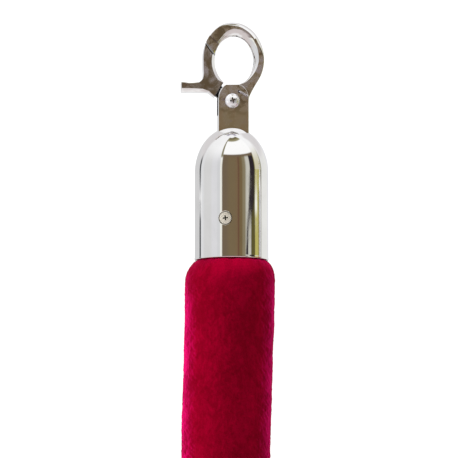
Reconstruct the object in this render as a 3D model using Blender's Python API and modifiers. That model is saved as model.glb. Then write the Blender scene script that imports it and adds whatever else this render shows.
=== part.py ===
"""Velvet barrier rope, hung double, with a snap hook and a bullet cap at each end.

The frame: metres, +Z up. The origin is the seat at the inside top of hook A's
eye, the rope hangs down from it, and end B is at +X, turned half a turn about Z.
Each end is built in its own frame, with its front at -Y and its gate at -X.
All sizes below are in millimetres and all angles in degrees.
"""

from math import cos, pi, radians, sin

import bmesh
import bpy
from mathutils import Matrix, Vector

MM = 0.001

# ---- driving dimensions ----
TOTAL_LENGTH = 1500.0  # from one hook's eye seat to the other's, along the rope

# ovals in X and Z: the centre and the two half axes
EYE_SEMI = (8.3, 10.7)
EYE_CENTRE = (1.0, -EYE_SEMI[1])
RING_CENTRE, RING_SEMI = (0.7, -9.8), (13.2, 15.8)
RING_THICK = 5.0

PIVOT_X, PIVOT_Z = 0.0, -28.4
NECK_LEFT, NECK_RIGHT = -6.0, 7.0
NECK_THICK = 9.0

CAP_RADIUS, CAP_WALL = 15.75, 1.2
CAP_RIM = -96.7
PLUG_RADIUS, PLUG_TOP, PLUG_END = 12.0, -62.0, -92.0

# takes a turned piece's +Z to the front, and a flat outline's Y to +Z
TO_FRONT = Matrix.Rotation(radians(90), 4, "X")
PIVOT_PLACE = Matrix.Translation((PIVOT_X * MM, 0, PIVOT_Z * MM)) @ TO_FRONT


# ---- scene helpers ----
def clear_scene():
    for obj in list(bpy.data.objects):
        bpy.data.objects.remove(obj, do_unlink=True)


def collection(name):
    made = bpy.data.collections.new(name)
    bpy.context.scene.collection.children.link(made)
    return made


def material(name, colour, roughness, metallic):
    mat = bpy.data.materials.new(name)
    mat.use_nodes = True
    shader = mat.node_tree.nodes["Principled BSDF"]
    shader.inputs["Base Color"].default_value = (*colour, 1.0)
    shader.inputs["Roughness"].default_value = roughness
    shader.inputs["Metallic"].default_value = metallic
    mat.diffuse_color = (*colour, 1.0)
    return mat


def make_materials():
    return {
        "chrome": material(
            "polished_chrome", colour=(0.80, 0.80, 0.80), roughness=0.06, metallic=1.0
        ),
        "nickel": material(
            "nickel_screw", colour=(0.72, 0.66, 0.52), roughness=0.2, metallic=1.0
        ),
        "zinc": material("zinc_steel", colour=(0.55, 0.56, 0.58), roughness=0.35, metallic=1.0),
        "spring": material(
            "spring_steel", colour=(0.42, 0.42, 0.44), roughness=0.3, metallic=1.0
        ),
        "beech": material("beech_plug", colour=(0.60, 0.42, 0.24), roughness=0.6, metallic=0.0),
        "velvet": material(
            "crimson_velvet", colour=(0.24, 0.002, 0.022), roughness=0.9, metallic=0.0
        ),
        "cotton": material(
            "cotton_core", colour=(0.75, 0.72, 0.64), roughness=0.95, metallic=0.0
        ),
    }


def object_of(name, mesh, group, mat=None, parent=None, origin=(0, 0, 0)):
    """An object whose origin is at the given point of its parent's frame."""
    mesh.name = name
    mesh.transform(Matrix.Translation(-Vector(origin) * MM))
    obj = bpy.data.objects.new(name, mesh)
    obj.location = Vector(origin) * MM
    obj.parent = parent
    if mat:
        mesh.materials.clear()
        mesh.materials.append(mat)
    group.objects.link(obj)
    return obj


def empty_of(name, group, size, location, parent=None):
    obj = bpy.data.objects.new(name, None)
    obj.empty_display_size = size * MM
    obj.location = location
    obj.parent = parent
    group.objects.link(obj)
    return obj


def as_cutter(obj):
    obj.hide_render = True
    obj.display_type = "WIRE"
    return obj


def smooth(obj, angle=35.0):
    obj.data.shade_smooth()
    obj.data.set_sharp_from_angle(angle=radians(angle))


def boolean(obj, other, operation="DIFFERENCE"):
    mod = obj.modifiers.new(operation.lower() + "_" + other.name, "BOOLEAN")
    mod.operation = operation
    mod.solver = "EXACT"
    mod.object = other


def chamfer(obj, width, angle=50.0):
    mod = obj.modifiers.new("edges", "BEVEL")
    mod.width = width * MM
    mod.segments = 1
    mod.limit_method = "ANGLE"
    mod.angle_limit = radians(angle)


# ---- mesh helpers ----
def baked(name, data):
    """The evaluated mesh of a curve or a mesh guide, with its seams welded."""
    guide = bpy.data.objects.new(name, data)
    bpy.context.scene.collection.objects.link(guide)
    if isinstance(data, bpy.types.Mesh):
        # the guide is a profile, turned about Z
        mod = guide.modifiers.new("turn", "SCREW")
        mod.axis = "Z"
        mod.steps = mod.render_steps = data["steps"]
        mod.use_merge_vertices = True
        mod.merge_threshold = 1e-6
    bpy.context.view_layer.update()
    graph = bpy.context.evaluated_depsgraph_get()
    mesh = bpy.data.meshes.new_from_object(guide.evaluated_get(graph))
    work = bmesh.new()
    work.from_mesh(mesh)
    bmesh.ops.remove_doubles(work, verts=work.verts, dist=1e-6)
    bmesh.ops.recalc_face_normals(work, faces=work.faces)
    work.to_mesh(mesh)
    work.free()
    bpy.data.objects.remove(guide, do_unlink=True)
    return mesh


def plate_mesh(outline, front, back):
    """A flat outline in X and Z, filled between two depths in Y."""
    curve = bpy.data.curves.new("outline", "CURVE")
    curve.dimensions = "2D"
    curve.fill_mode = "BOTH"
    curve.extrude = (back - front) / 2 * MM
    spline = curve.splines.new("POLY")
    spline.points.add(len(outline) - 1)
    for point, (x, z) in zip(spline.points, outline):
        point.co = (x * MM, z * MM, 0, 1)
    spline.use_cyclic_u = True
    mesh = baked("outline", curve)
    bpy.data.curves.remove(curve)
    mesh.transform(Matrix.Translation((0, (front + back) / 2 * MM, 0)) @ TO_FRONT)
    return mesh


def turned_mesh(profile, steps):
    """A turned solid about Z, from a profile of (radius, z).

    A profile that starts off the axis is closed into a loop.
    """
    work = bmesh.new()
    made = [work.verts.new((radius * MM, 0, z * MM)) for radius, z in profile]
    for pair in zip(made, made[1:]):
        work.edges.new(pair)
    if profile[0][0] > 0:
        work.edges.new((made[-1], made[0]))
    mesh = bpy.data.meshes.new("profile")
    work.to_mesh(mesh)
    work.free()
    mesh["steps"] = steps
    turned = baked("profile", mesh)
    bpy.data.meshes.remove(mesh)
    return turned


def rod_mesh(radius, top, bottom, steps):
    return turned_mesh([(0, top), (radius, top), (radius, bottom), (0, bottom)], steps)


def box_mesh(low, high):
    work = bmesh.new()
    bmesh.ops.create_cube(work, size=1.0)
    low, high = Vector(low), Vector(high)
    bmesh.ops.scale(work, vec=(high - low) * MM, verts=work.verts)
    bmesh.ops.translate(work, vec=(low + high) / 2 * MM, verts=work.verts)
    mesh = bpy.data.meshes.new("box")
    work.to_mesh(mesh)
    work.free()
    return mesh


def tube_mesh(stations, resolution):
    """A round solid along a line of (place, radius), with 4 + 2 * resolution sides."""
    curve = bpy.data.curves.new("path", "CURVE")
    curve.dimensions = "3D"
    curve.bevel_depth = 1.0 * MM
    curve.bevel_resolution = resolution
    curve.use_fill_caps = True
    curve.twist_mode = "MINIMUM"
    spline = curve.splines.new("POLY")
    spline.points.add(len(stations) - 1)
    for point, (place, radius) in zip(spline.points, stations):
        point.co = (*(Vector(place) * MM), 1)
        point.radius = radius
    mesh = baked("path", curve)
    bpy.data.curves.remove(curve)
    return mesh


def cut_plane(mesh, place, normal):
    """Removes what lies on the normal's side of the plane, and closes the cut."""
    work = bmesh.new()
    work.from_mesh(mesh)
    made = bmesh.ops.bisect_plane(
        work,
        geom=list(work.verts) + list(work.edges) + list(work.faces),
        dist=1e-7,
        plane_co=place * MM,
        plane_no=normal,
        clear_outer=True,
    )
    rim = [edge for edge in made["geom_cut"] if isinstance(edge, bmesh.types.BMEdge)]
    bmesh.ops.contextual_create(work, geom=rim)
    bmesh.ops.recalc_face_normals(work, faces=work.faces)
    work.to_mesh(mesh)
    work.free()


def oval(centre, semi, start, end, count):
    """Points of (x, z) along an oval, in a number of equal steps of angle."""
    angles = [radians(start + (end - start) * i / count) for i in range(count + 1)]
    return [(centre[0] + semi[0] * cos(a), centre[1] + semi[1] * sin(a)) for a in angles]


def about_pivot(radius, *angles):
    return [
        (PIVOT_X + radius * cos(radians(a)), PIVOT_Z + radius * sin(radians(a)))
        for a in angles
    ]


class End:
    """One end of the rope: its tag, its frame, and where its objects go."""

    def __init__(self, tag, frame, parts, cutters, mats):
        self.tag, self.frame = tag, frame
        self.parts, self.cutters, self.mats = parts, cutters, mats

    def place_object(self, name, mesh, group, mat, place):
        obj = object_of(name + "_" + self.tag, mesh, group, mat, self.frame)
        if place:
            obj.matrix_local = place
        return obj

    def piece(self, name, mesh, mat, place=None):
        return self.place_object(name, mesh, self.parts, self.mats[mat], place)

    def cutter(self, name, mesh, place=None):
        return as_cutter(self.place_object(name, mesh, self.cutters, None, place))


# ---- hook body: the ring with its nose, the forked neck and the tail inside the cap ----
SEAT_HALF = 1.6  # half width of the flat at the inside top of the eye
RING_CHAMFER, NECK_CHAMFER = 1.3, 0.6
NECK_END = -44.0
EAR_ROUND = 7.9  # radius of the ears' corner about the pivot
EYE_OVERLAP = 0.02  # how far the neck's top lies below the edge of the eye
SLOT_HALF, SLOT_LEFT, SLOT_RIGHT = 2.7, -9, 5.4
SLOT_TOP, SLOT_FLOOR = -18.9, -34.3
STUD_RADIUS, STUD_TOP, STUD_END = 2.5, -40.0, -56.0
STUD_CHAMFER = 0.5


def hook_outline():
    """Points of (x, z) around the ring, from the nose over the top and back inside."""
    nose = [(-7.1, -8.3), (-8.4, -6.7), (-10.9, -3.2)]
    ring = oval(RING_CENTRE, RING_SEMI, 153.0, -46.0, 25)
    right = [(8.6, -23.6), (7.4, -25.9), (NECK_RIGHT, -27.6), (NECK_RIGHT, -30.0)]
    foot = [(2.0, -30.0), (1.0, -21.4)]
    inside = oval(EYE_CENTRE, EYE_SEMI, -82.0, 76.0, 17)
    seat = [(EYE_CENTRE[0] + SEAT_HALF, 0.0), (EYE_CENTRE[0] - SEAT_HALF, 0.0)]
    inside_left = oval(EYE_CENTRE, EYE_SEMI, 104.0, 162.0, 6)
    return nose + ring + right + foot + inside + seat + inside_left


def neck_outline():
    """Points of (x, z) around the neck, from its lower left corner."""
    corner = about_pivot(EAR_ROUND, 139.5, 132.0, 125.0, 117.6)
    eye = [(x, z - EYE_OVERLAP) for x, z in oval(EYE_CENTRE, EYE_SEMI, -90.0, -48.0, 5)]
    right = [(7.9, -20.4), (8.1, -22.6), (7.3, -25.4), (NECK_RIGHT, -27.6)]
    return [(NECK_LEFT, NECK_END)] + corner + eye + right + [(NECK_RIGHT, NECK_END)]


def build_hook(end, bore):
    half = RING_THICK / 2
    ring = end.cutter("ring_blank", plate_mesh(hook_outline(), -half, half))
    chamfer(ring, RING_CHAMFER)
    stud = [
        (0, STUD_TOP),
        (STUD_RADIUS, STUD_TOP),
        (STUD_RADIUS, STUD_END + STUD_CHAMFER),
        (STUD_RADIUS - STUD_CHAMFER, STUD_END),
        (0, STUD_END),
    ]
    tail = end.cutter("tail_blank", turned_mesh(stud, 16))
    slot = end.cutter(
        "fork_slot",
        box_mesh((SLOT_LEFT, -SLOT_HALF, SLOT_FLOOR), (SLOT_RIGHT, SLOT_HALF, SLOT_TOP)),
    )
    neck = plate_mesh(neck_outline(), -NECK_THICK / 2, NECK_THICK / 2)
    hook = end.piece("hook_body", neck, "chrome")
    chamfer(hook, NECK_CHAMFER)
    boolean(hook, ring, "UNION")
    boolean(hook, tail, "UNION")
    boolean(hook, slot)
    boolean(hook, bore)
    smooth(hook)


# ---- gate: the sprung side of the eye with its thumb lever, turning on the pivot screw ----
GATE_CHAMFER = 0.7
TONGUE_FRONT, TONGUE_BACK = 0.5, 2.4
TONGUE_ROUND = 4.6
GATE_CLEAR = 8.3  # radius about the pivot that the gate's plate curves around


def gate_outline():
    """Points of (x, z) down the outer side, around the lever and up the inner side."""
    outer = oval(RING_CENTRE, RING_SEMI, 158.0, 184.0, 5)
    waist = [(-12.4, -14.0), (-12.3, -17.3), (-12.6, -19.3), (-13.6, -20.6)]
    lever = [(-15.0, -21.1), (-21.4, -21.1), (-21.4, -23.5), (-9.2, -23.5)]
    heel = [(-8.6, -23.8)] + about_pivot(7.45, 158.0) + about_pivot(7.6, 150.0)
    clear = about_pivot(GATE_CLEAR, 142.0, 134.0, 126.0, 117.5)
    inner = oval(EYE_CENTRE, EYE_SEMI, 238.0, 170.0, 9)
    lap = [(-7.5, -8.6), (-8.75, -6.9), (-11.2, -3.5)]
    return outer + waist + lever + heel + clear + inner + lap


def tongue_outline():
    """Points of (x, z) around the pivot's eye and out along the arm."""
    eye = about_pivot(TONGUE_ROUND, *range(-130, 81, 15))
    arm = [(-4.2, -19.6), (-7.0, -18.6), (-10.4, -20.5), (-8.9, -23.2)]
    return eye + arm + about_pivot(TONGUE_ROUND, 190.0, 210.0)


def build_gate(end, bore):
    half = RING_THICK / 2
    place = (PIVOT_X, 0, PIVOT_Z)
    pivot = empty_of(
        "gate_pivot_" + end.tag, end.parts, 10, Vector(place) * MM, parent=end.frame
    )
    tongue = end.cutter("tongue_blank", plate_mesh(tongue_outline(), TONGUE_FRONT, TONGUE_BACK))
    plate = plate_mesh(gate_outline(), -half, half)
    gate = object_of(
        "hook_gate_" + end.tag, plate, end.parts, end.mats["chrome"], pivot, place
    )
    gate.location = (0, 0, 0)  # the pivot already stands at the gate's origin
    chamfer(gate, GATE_CHAMFER, 60.0)
    boolean(gate, tongue, "UNION")
    boolean(gate, bore)
    smooth(gate)


# ---- gate spring: a coil about the pivot, with a leg to the neck and a leg to the gate ----
WIRE_RADIUS, COIL_RADIUS = 0.35, 2.6
COIL_FRONT, COIL_BACK = -2.05, -0.15
COIL_START, COIL_TURNS, COIL_STEPS = -35.0, 2.47, 34
NECK_LEG_END, GATE_LEG_END = (4.5, -23.4), (-4.9, -22.6)  # (x, z)


def spring_line():
    coil = []
    for i in range(COIL_STEPS + 1):
        angle = COIL_START + 360.0 * COIL_TURNS * i / COIL_STEPS
        [(x, z)] = about_pivot(COIL_RADIUS, angle)
        coil.append((x, COIL_FRONT + (COIL_BACK - COIL_FRONT) * i / COIL_STEPS, z))
    neck_leg = (NECK_LEG_END[0], COIL_FRONT, NECK_LEG_END[1])
    gate_leg = (GATE_LEG_END[0], COIL_BACK, GATE_LEG_END[1])
    return [neck_leg, *coil, gate_leg]


def build_spring(end):
    wire = [(place, WIRE_RADIUS) for place in spring_line()]
    end.piece("gate_spring", tube_mesh(wire, 0), "spring")


# ---- pivot screw with a crossed recess, and its nut behind ----
SHANK_RADIUS, SHANK_HOLE_RADIUS, SHANK_HOLE_HALF = 1.5, 1.85, 9
SCREW_FACE = NECK_THICK / 2 + 0.3  # underside of the head, from the mid plane
SHANK_END = -SCREW_FACE - 2.7
SHANK_CHAMFER = 0.3
PIVOT_HEAD = [  # (radius, height above the underside)
    (0, 1.9), (1.2, 1.85), (2.2, 1.55), (2.9, 0.9), (3.2, 0.3), (3.2, 0),
]
PIVOT_NUT_RADIUS, PIVOT_NUT_HIGH = 3.3, 2.2


def cut_crossed_recess(end, screw, name, place, turn, half_size, bottom, top):
    """Two slots square to each other, cut into a screw's head from bottom to top."""
    long_half, short_half = half_size
    for i in range(2):
        wing = end.cutter(
            f"{name}_{i}",
            box_mesh((-long_half, -short_half, bottom), (long_half, short_half, top)),
            place @ Matrix.Rotation(radians(turn + 90.0 * i), 4, "Z"),
        )
        boolean(screw, wing)


def build_pivot_screw(end):
    head = [(radius, SCREW_FACE + high) for radius, high in PIVOT_HEAD]
    shank = [
        (SHANK_RADIUS, SCREW_FACE),
        (SHANK_RADIUS, SHANK_END + SHANK_CHAMFER),
        (SHANK_RADIUS - SHANK_CHAMFER, SHANK_END),
        (0, SHANK_END),
    ]
    screw = end.piece("pivot_screw", turned_mesh(head + shank, 20), "chrome", PIVOT_PLACE)
    cut_crossed_recess(
        end, screw, "pivot_recess", PIVOT_PLACE, turn=12.0,
        half_size=(1.75, 0.38), bottom=SCREW_FACE + 0.8, top=SCREW_FACE + 3,
    )
    smooth(screw)


def build_pivot_nut(end, bore):
    mesh = rod_mesh(PIVOT_NUT_RADIUS, -SCREW_FACE, -SCREW_FACE - PIVOT_NUT_HIGH, 6)
    boolean(end.piece("pivot_nut", mesh, "chrome", PIVOT_PLACE), bore)


# ---- end cap: a bullet-shaped shell, slotted at the top for the neck ----
DOME_HIGH, DOME_BASE = 19.6, -58.9
APEX_SLOT_GAP = 0.35  # around the neck
APEX_SLOT_BOTTOM, APEX_SLOT_TOP = -47.0, -30.0

CAP_SCREW_TURN = -14.9  # about Z from the front
CAP_SCREW_Z = -79.9
CAP_SCREW_PLACE = (
    Matrix.Translation((0, 0, CAP_SCREW_Z * MM))
    @ Matrix.Rotation(radians(CAP_SCREW_TURN), 4, "Z")
    @ TO_FRONT
)
# (radius, distance out from the cap's axis)
COUNTERSINK = [(0, 18), (3.3, 18), (3.3, 15.65), (1.85, 14.2), (1.85, 12.6), (0, 12.6)]
CAP_SCREW = [
    (0, 15.42), (2.2, 15.38), (2.6, 15.25), (1.35, 14.0), (1.35, 4.6), (0.8, 4.0), (0, 4.0),
]


def dome(radius, high, angles):
    """Points of (radius, z) on the dome, by the angle from its top."""
    return [
        (radius * sin(radians(a)), DOME_BASE + high * cos(radians(a))) for a in angles
    ]


def build_cap(end):
    inner_radius = CAP_RADIUS - CAP_WALL
    rim = [
        (CAP_RADIUS, CAP_RIM + 0.5),
        (CAP_RADIUS - 0.4, CAP_RIM),
        (inner_radius + 0.2, CAP_RIM),
        (inner_radius, CAP_RIM + 0.3),
    ]
    outside = dome(CAP_RADIUS, DOME_HIGH, range(0, 91, 10))
    hollow = dome(inner_radius, DOME_HIGH - CAP_WALL, range(90, -1, -15))
    cap = end.piece("end_cap", turned_mesh(outside + rim + hollow, 32), "chrome")
    depth = NECK_THICK / 2 + APEX_SLOT_GAP
    slot = box_mesh(
        (NECK_LEFT - APEX_SLOT_GAP, -depth, APEX_SLOT_BOTTOM),
        (NECK_RIGHT + APEX_SLOT_GAP, depth, APEX_SLOT_TOP),
    )
    boolean(cap, end.cutter("apex_slot", slot))
    boolean(cap, end.cutter("countersink", turned_mesh(COUNTERSINK, 20), CAP_SCREW_PLACE))
    smooth(cap)


def build_cap_screw(end):
    """The countersunk screw through the cap into the plug."""
    screw = end.piece("cap_screw", turned_mesh(CAP_SCREW, 20), "nickel", CAP_SCREW_PLACE)
    cut_crossed_recess(
        end, screw, "cap_screw_recess", CAP_SCREW_PLACE, turn=5.0,
        half_size=(1.35, 0.3), bottom=14.5, top=17,
    )
    smooth(screw)


# ---- washer and nut that hold the hook's tail inside the dome ----
WASHER_RADIUS, WASHER_HOLE_RADIUS = 11.3, 2.9
WASHER_TOP, WASHER_BOTTOM = -48.3, -49.6
TAIL_NUT_RADIUS, TAIL_NUT_HOLE_RADIUS = 4.6, 2.85
TAIL_NUT_TOP, TAIL_NUT_BOTTOM = -49.95, -53.9


def build_tail_fixing(end):
    washer = [
        (WASHER_RADIUS, WASHER_TOP),
        (WASHER_RADIUS, WASHER_BOTTOM),
        (WASHER_HOLE_RADIUS, WASHER_BOTTOM),
        (WASHER_HOLE_RADIUS, WASHER_TOP),
    ]
    end.piece("tail_washer", turned_mesh(washer, 24), "zinc")
    nut = rod_mesh(TAIL_NUT_RADIUS, TAIL_NUT_TOP, TAIL_NUT_BOTTOM, 6)
    hole = rod_mesh(TAIL_NUT_HOLE_RADIUS, -47, -57, 16)
    boolean(end.piece("tail_nut", nut, "zinc"), end.cutter("tail_nut_bore", hole))


# ---- plug inside the cap ----
PLUG_CHAMFER = 1
SCREW_BORE_RADIUS, SCREW_BORE_OUTER, SCREW_BORE_INNER = 1.7, 14, 3.5


def build_plug(end):
    profile = [
        (0, PLUG_TOP),
        (PLUG_RADIUS - PLUG_CHAMFER, PLUG_TOP),
        (PLUG_RADIUS, PLUG_TOP - PLUG_CHAMFER),
        (PLUG_RADIUS, PLUG_END),
        (0, PLUG_END),
    ]
    plug = end.piece("end_plug", turned_mesh(profile, 24), "beech")
    hole = rod_mesh(SCREW_BORE_RADIUS, SCREW_BORE_OUTER, SCREW_BORE_INNER, 12)
    boolean(plug, end.cutter("screw_bore", hole, CAP_SCREW_PLACE))
    smooth(plug)


def build_end(end):
    bore = end.cutter(
        "pivot_bore",
        rod_mesh(SHANK_HOLE_RADIUS, SHANK_HOLE_HALF, -SHANK_HOLE_HALF, 16),
        PIVOT_PLACE,
    )
    build_hook(end, bore)
    build_gate(end, bore)
    build_spring(end)
    build_pivot_screw(end)
    build_pivot_nut(end, bore)
    build_cap(end)
    build_cap_screw(end)
    build_tail_fixing(end)
    build_plug(end)


# ---- the rope's line ----
LEAN = -1.5  # the rope leans outward below each cap
LEAN_FROM = 20.0  # below the rim
MID_HINGE = 330.0  # below the rim
MID_ANGLE = 4.0
BEND_STEP = 30.0
BEND_ANGLES = (14.0, 18.0, 21.0, 22.0)  # from the leg to the middle of the bend
CENTRE_ANGLE = 25.0


def direction(heading):
    return Vector((sin(radians(heading)), 0, -cos(radians(heading))))


def inward(heading):
    """Square to the rope, towards the inside of the bend."""
    return Vector((cos(radians(heading)), 0, sin(radians(heading))))


def rope_line():
    """The corners from cap A to cap B, the heading of each length and the turn at each corner.

    A heading of 0 is straight down, and it grows as the rope turns towards end B.
    Length i follows point i. The turns at the two end points are 0.
    """
    half = TOTAL_LENGTH / 2 + CAP_RIM
    first_bend = half - BEND_STEP * len(BEND_ANGLES)
    lengths = [LEAN_FROM, MID_HINGE - LEAN_FROM, first_bend - MID_HINGE]
    lengths += [BEND_STEP] * len(BEND_ANGLES)
    lengths += lengths[::-1]
    turns = [0.0, LEAN, MID_ANGLE, *BEND_ANGLES]
    turns += [CENTRE_ANGLE] + turns[::-1]
    points, headings, heading = [Vector((0, 0, CAP_RIM))], [], 0.0
    for length, turn in zip(lengths, turns):
        heading += turn
        headings.append(heading)
        points.append(points[-1] + direction(heading) * length)
    return points, headings, turns


# ---- the sleeve and core ----
ROPE_RADIUS, SHOULDER_RADIUS, MOUTH_RADIUS = 18.9, 19.25, 15.1
SWELL_LENGTH, SWELL_POWER = 10.0, 2.6  # from the mouth out to the shoulder
SETTLE_FROM, SETTLE_LENGTH = 14.0, 26.0  # from the shoulder in to the rope's radius
# distances below the rim where the leg's skin changes radius
LEG_STATIONS = (0.35, 1.0, 2.2, 4.0, 6.5, 10.0, 14.0, 20.0, 40.0)
HOLLOW_FROM = 2.2  # first of them where the bore and the core follow the skin

TUCK_TOP, TUCK_RADIUS = -83.0, 14.2  # the part of the sleeve inside the cap
SLEEVE_WALL = 2.0
LEG_WALL = SLEEVE_WALL + 0.3  # near the cap
CORE_GAP = 0.4
PLUG_GAP = 0.35  # between the plug and the sleeve
CORE_TOP_GAP = 0.4  # between the plug and the core
CORE_TOP_RADIUS = PLUG_RADIUS - 0.1
BORE_OVERRUN = 3
HINGE_GAP = 0.4
HINGE_FLARE = 0.3  # opens each cut beyond half the turn
SLEEVE_RESOLUTION, CORE_RESOLUTION = 8, 4


def sleeve_radius(below_rim):
    """Outside radius of the sleeve at a distance below the cap's rim."""
    swell = 1 - (1 - min(below_rim / SWELL_LENGTH, 1.0)) ** SWELL_POWER
    settle = max(0.0, min(1.0, (below_rim - SETTLE_FROM) / SETTLE_LENGTH))
    swollen = MOUTH_RADIUS + (SHOULDER_RADIUS - MOUTH_RADIUS) * swell
    return swollen - (SHOULDER_RADIUS - ROPE_RADIUS) * settle


def leg_lines(cap_x, corner, hinge, away):
    """Stations of an upper leg's skin, bore and core, from inside its cap to its hinge."""

    def on_axis(z):
        return Vector((cap_x, 0, z))

    bore_radius = PLUG_RADIUS + PLUG_GAP
    skin = [(on_axis(TUCK_TOP), TUCK_RADIUS), (on_axis(CAP_RIM - 0.3), TUCK_RADIUS)]
    bore = [
        (on_axis(TUCK_TOP + BORE_OVERRUN), bore_radius),
        (on_axis(CAP_RIM + 1.0), bore_radius),
    ]
    core = [
        (on_axis(PLUG_END - CORE_TOP_GAP), CORE_TOP_RADIUS),
        (on_axis(CAP_RIM + 0.5), CORE_TOP_RADIUS),
    ]
    for below in LEG_STATIONS:
        if below < LEAN_FROM:
            place = on_axis(CAP_RIM - below)
        else:
            place = corner + away * (below - LEAN_FROM)
        radius = sleeve_radius(below)
        skin.append((place, radius))
        if below >= HOLLOW_FROM:
            bore.append((place, radius - LEG_WALL))
            core.append((place, radius - LEG_WALL - CORE_GAP))
    tip = hinge - away * HINGE_GAP / 2
    skin.append((tip, ROPE_RADIUS))
    bore.append((tip + away * BORE_OVERRUN, ROPE_RADIUS - SLEEVE_WALL))
    core.append((tip, ROPE_RADIUS - SLEEVE_WALL - CORE_GAP))
    return skin, bore, core


def length_lines(start, end, away):
    """Stations of the skin, bore and core of a straight length between two hinges."""
    first = start + away * HINGE_GAP / 2
    last = end - away * HINGE_GAP / 2
    overrun = away * BORE_OVERRUN
    radius = ROPE_RADIUS - SLEEVE_WALL
    skin = [(first, ROPE_RADIUS), (last, ROPE_RADIUS)]
    bore = [(first - overrun, radius), (last + overrun, radius)]
    core = [(first, radius - CORE_GAP), (last, radius - CORE_GAP)]
    return skin, bore, core


def build_rope(parts, cutters, mats):
    """Builds the sleeves and cores, and gives the X of end B."""
    points, headings, turns = rope_line()
    last = len(points) - 1
    # the leaning points beside the caps are bends in one solid, and all others are hinges
    ends = [0, *range(2, last - 1), last]
    for number, (start, end) in enumerate(zip(ends, ends[1:]), 1):
        if start == 0 or end == last:
            cap, corner, hinge = (0, 1, end) if start == 0 else (last, last - 1, start)
            away = (points[hinge] - points[corner]).normalized()
            lines = leg_lines(points[cap].x, points[corner], points[hinge], away)
            cuts = [(hinge, away)]
        else:
            away = direction(headings[start])
            lines = length_lines(points[start], points[end], away)
            cuts = [(start, -away), (end, away)]
        skin_line, bore_line, core_line = lines
        skin = tube_mesh(skin_line, SLEEVE_RESOLUTION)
        heart = tube_mesh(core_line, CORE_RESOLUTION)
        # the first leg meets its hinge on the heading that follows its lean
        side = inward(headings[max(start, 1)])
        for hinge, out in cuts:
            tilt = radians(turns[hinge] / 2 + HINGE_FLARE)
            normal = out * cos(tilt) + side * sin(tilt)
            face = points[hinge] - out * HINGE_GAP / 2
            cut_plane(skin, face, normal)
            cut_plane(heart, face, normal)
        tag = f"{number:02d}"
        origin = points[start]
        sleeve = object_of("sleeve_" + tag, skin, parts, mats["velvet"], origin=origin)
        bore = object_of("sleeve_bore_" + tag, tube_mesh(bore_line, SLEEVE_RESOLUTION), cutters)
        boolean(sleeve, as_cutter(bore))
        smooth(sleeve, 60)
        core = object_of("core_" + tag, heart, parts, mats["cotton"], origin=origin)
        smooth(core, 60)
    return points[last].x


def main():
    clear_scene()
    parts = collection("velvet_barrier_rope")
    cutters = collection("cutters")
    cutters.hide_render = True
    mats = make_materials()
    far_x = build_rope(parts, cutters, mats)
    for tag, x, turn in (("a", 0.0, 0.0), ("b", far_x, pi)):
        frame = empty_of("end_" + tag, parts, 20, (x * MM, 0, 0))
        frame.rotation_euler = (0, 0, turn)
        build_end(End(tag, frame, parts, cutters, mats))


main()
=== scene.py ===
"""Looks of the velvet barrier rope: chromed hooks and caps, and a crimson velvet sleeve.

End A hangs at the origin with its hook up. From its cap the rope runs down -Z, bends round
towards +X and comes up to end B. The hooks lie flat in X and Z, and the front is -Y.
Pieces are shaped in millimetres and placed in metres.
"""

from math import atan2, cos, degrees, hypot, pi, radians, sin

import bmesh
import bpy
import numpy as np
from mathutils import Matrix, Vector


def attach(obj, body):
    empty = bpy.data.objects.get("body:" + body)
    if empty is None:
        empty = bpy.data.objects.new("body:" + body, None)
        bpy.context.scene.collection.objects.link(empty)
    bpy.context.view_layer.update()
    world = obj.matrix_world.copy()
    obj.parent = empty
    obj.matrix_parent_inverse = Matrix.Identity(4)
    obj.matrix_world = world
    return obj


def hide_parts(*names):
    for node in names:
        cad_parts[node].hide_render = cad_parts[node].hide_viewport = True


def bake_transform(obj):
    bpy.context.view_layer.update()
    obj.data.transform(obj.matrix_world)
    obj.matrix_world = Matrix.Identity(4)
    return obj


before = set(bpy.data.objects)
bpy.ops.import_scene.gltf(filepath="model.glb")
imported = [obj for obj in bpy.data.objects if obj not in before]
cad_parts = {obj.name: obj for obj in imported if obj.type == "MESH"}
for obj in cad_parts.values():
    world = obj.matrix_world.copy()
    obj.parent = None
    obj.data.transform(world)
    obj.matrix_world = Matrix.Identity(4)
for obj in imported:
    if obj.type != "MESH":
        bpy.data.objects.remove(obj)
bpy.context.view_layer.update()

MM = 0.001
TOTAL_LENGTH = 1500.0

# hook and gate, as (x, z): the hole inside the hook, its outer oval, and the gate's pivot
EYE_CENTRE, EYE_SEMI = (1.0, -10.7), (8.3, 10.7)
RING_CENTRE, RING_SEMI = (0.7, -9.8), (13.2, 15.8)
PIVOT = (0.0, -28.4)
PLATE_HALF = 2.5  # half the thickness of the hook's ring and of the gate
LAP = (-9.0, -5.75)  # the middle of the line where the gate's tip meets the nose
LAP_TURN = -36.66
NECK_LEFT, NECK_RIGHT, NECK_THICK, NECK_END = -6.0, 7.0, 9.0, -44.0
BORE_R = 1.85
SEAT = NECK_THICK / 2 + 0.3  # where the pivot's screw head and nut start, from the middle

# end cap
CAP_R, CAP_WALL, DOME_HIGH, DOME_BASE, CAP_RIM = 15.75, 1.2, 19.6, -58.9, -96.7
CAP_SCREW_TURN, CAP_SCREW_Z = -14.9, -79.9
SLOT_GAP = 0.3  # play between the neck and its slot in the cap

# rope: radii, the lengths between its corners, and the turn in degrees at each corner
ROPE_R, SHOULDER_R = 18.9, 19.25
MOUTH_R, TUCKED_R = 15.1, 14.1  # the sleeve at the cap's rim and inside it
TUCK = 5.0  # how far the sleeve goes up into each cap
LEAN, LEAN_FROM, MID_HINGE, BEND_STEP = -1.5, 20.0, 330.0, 30.0
TURNS = [LEAN, 4.0, 14.0, 18.0, 21.0, 22.0, 25.0, 22.0, 21.0, 18.0, 14.0, 4.0, LEAN]

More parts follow.
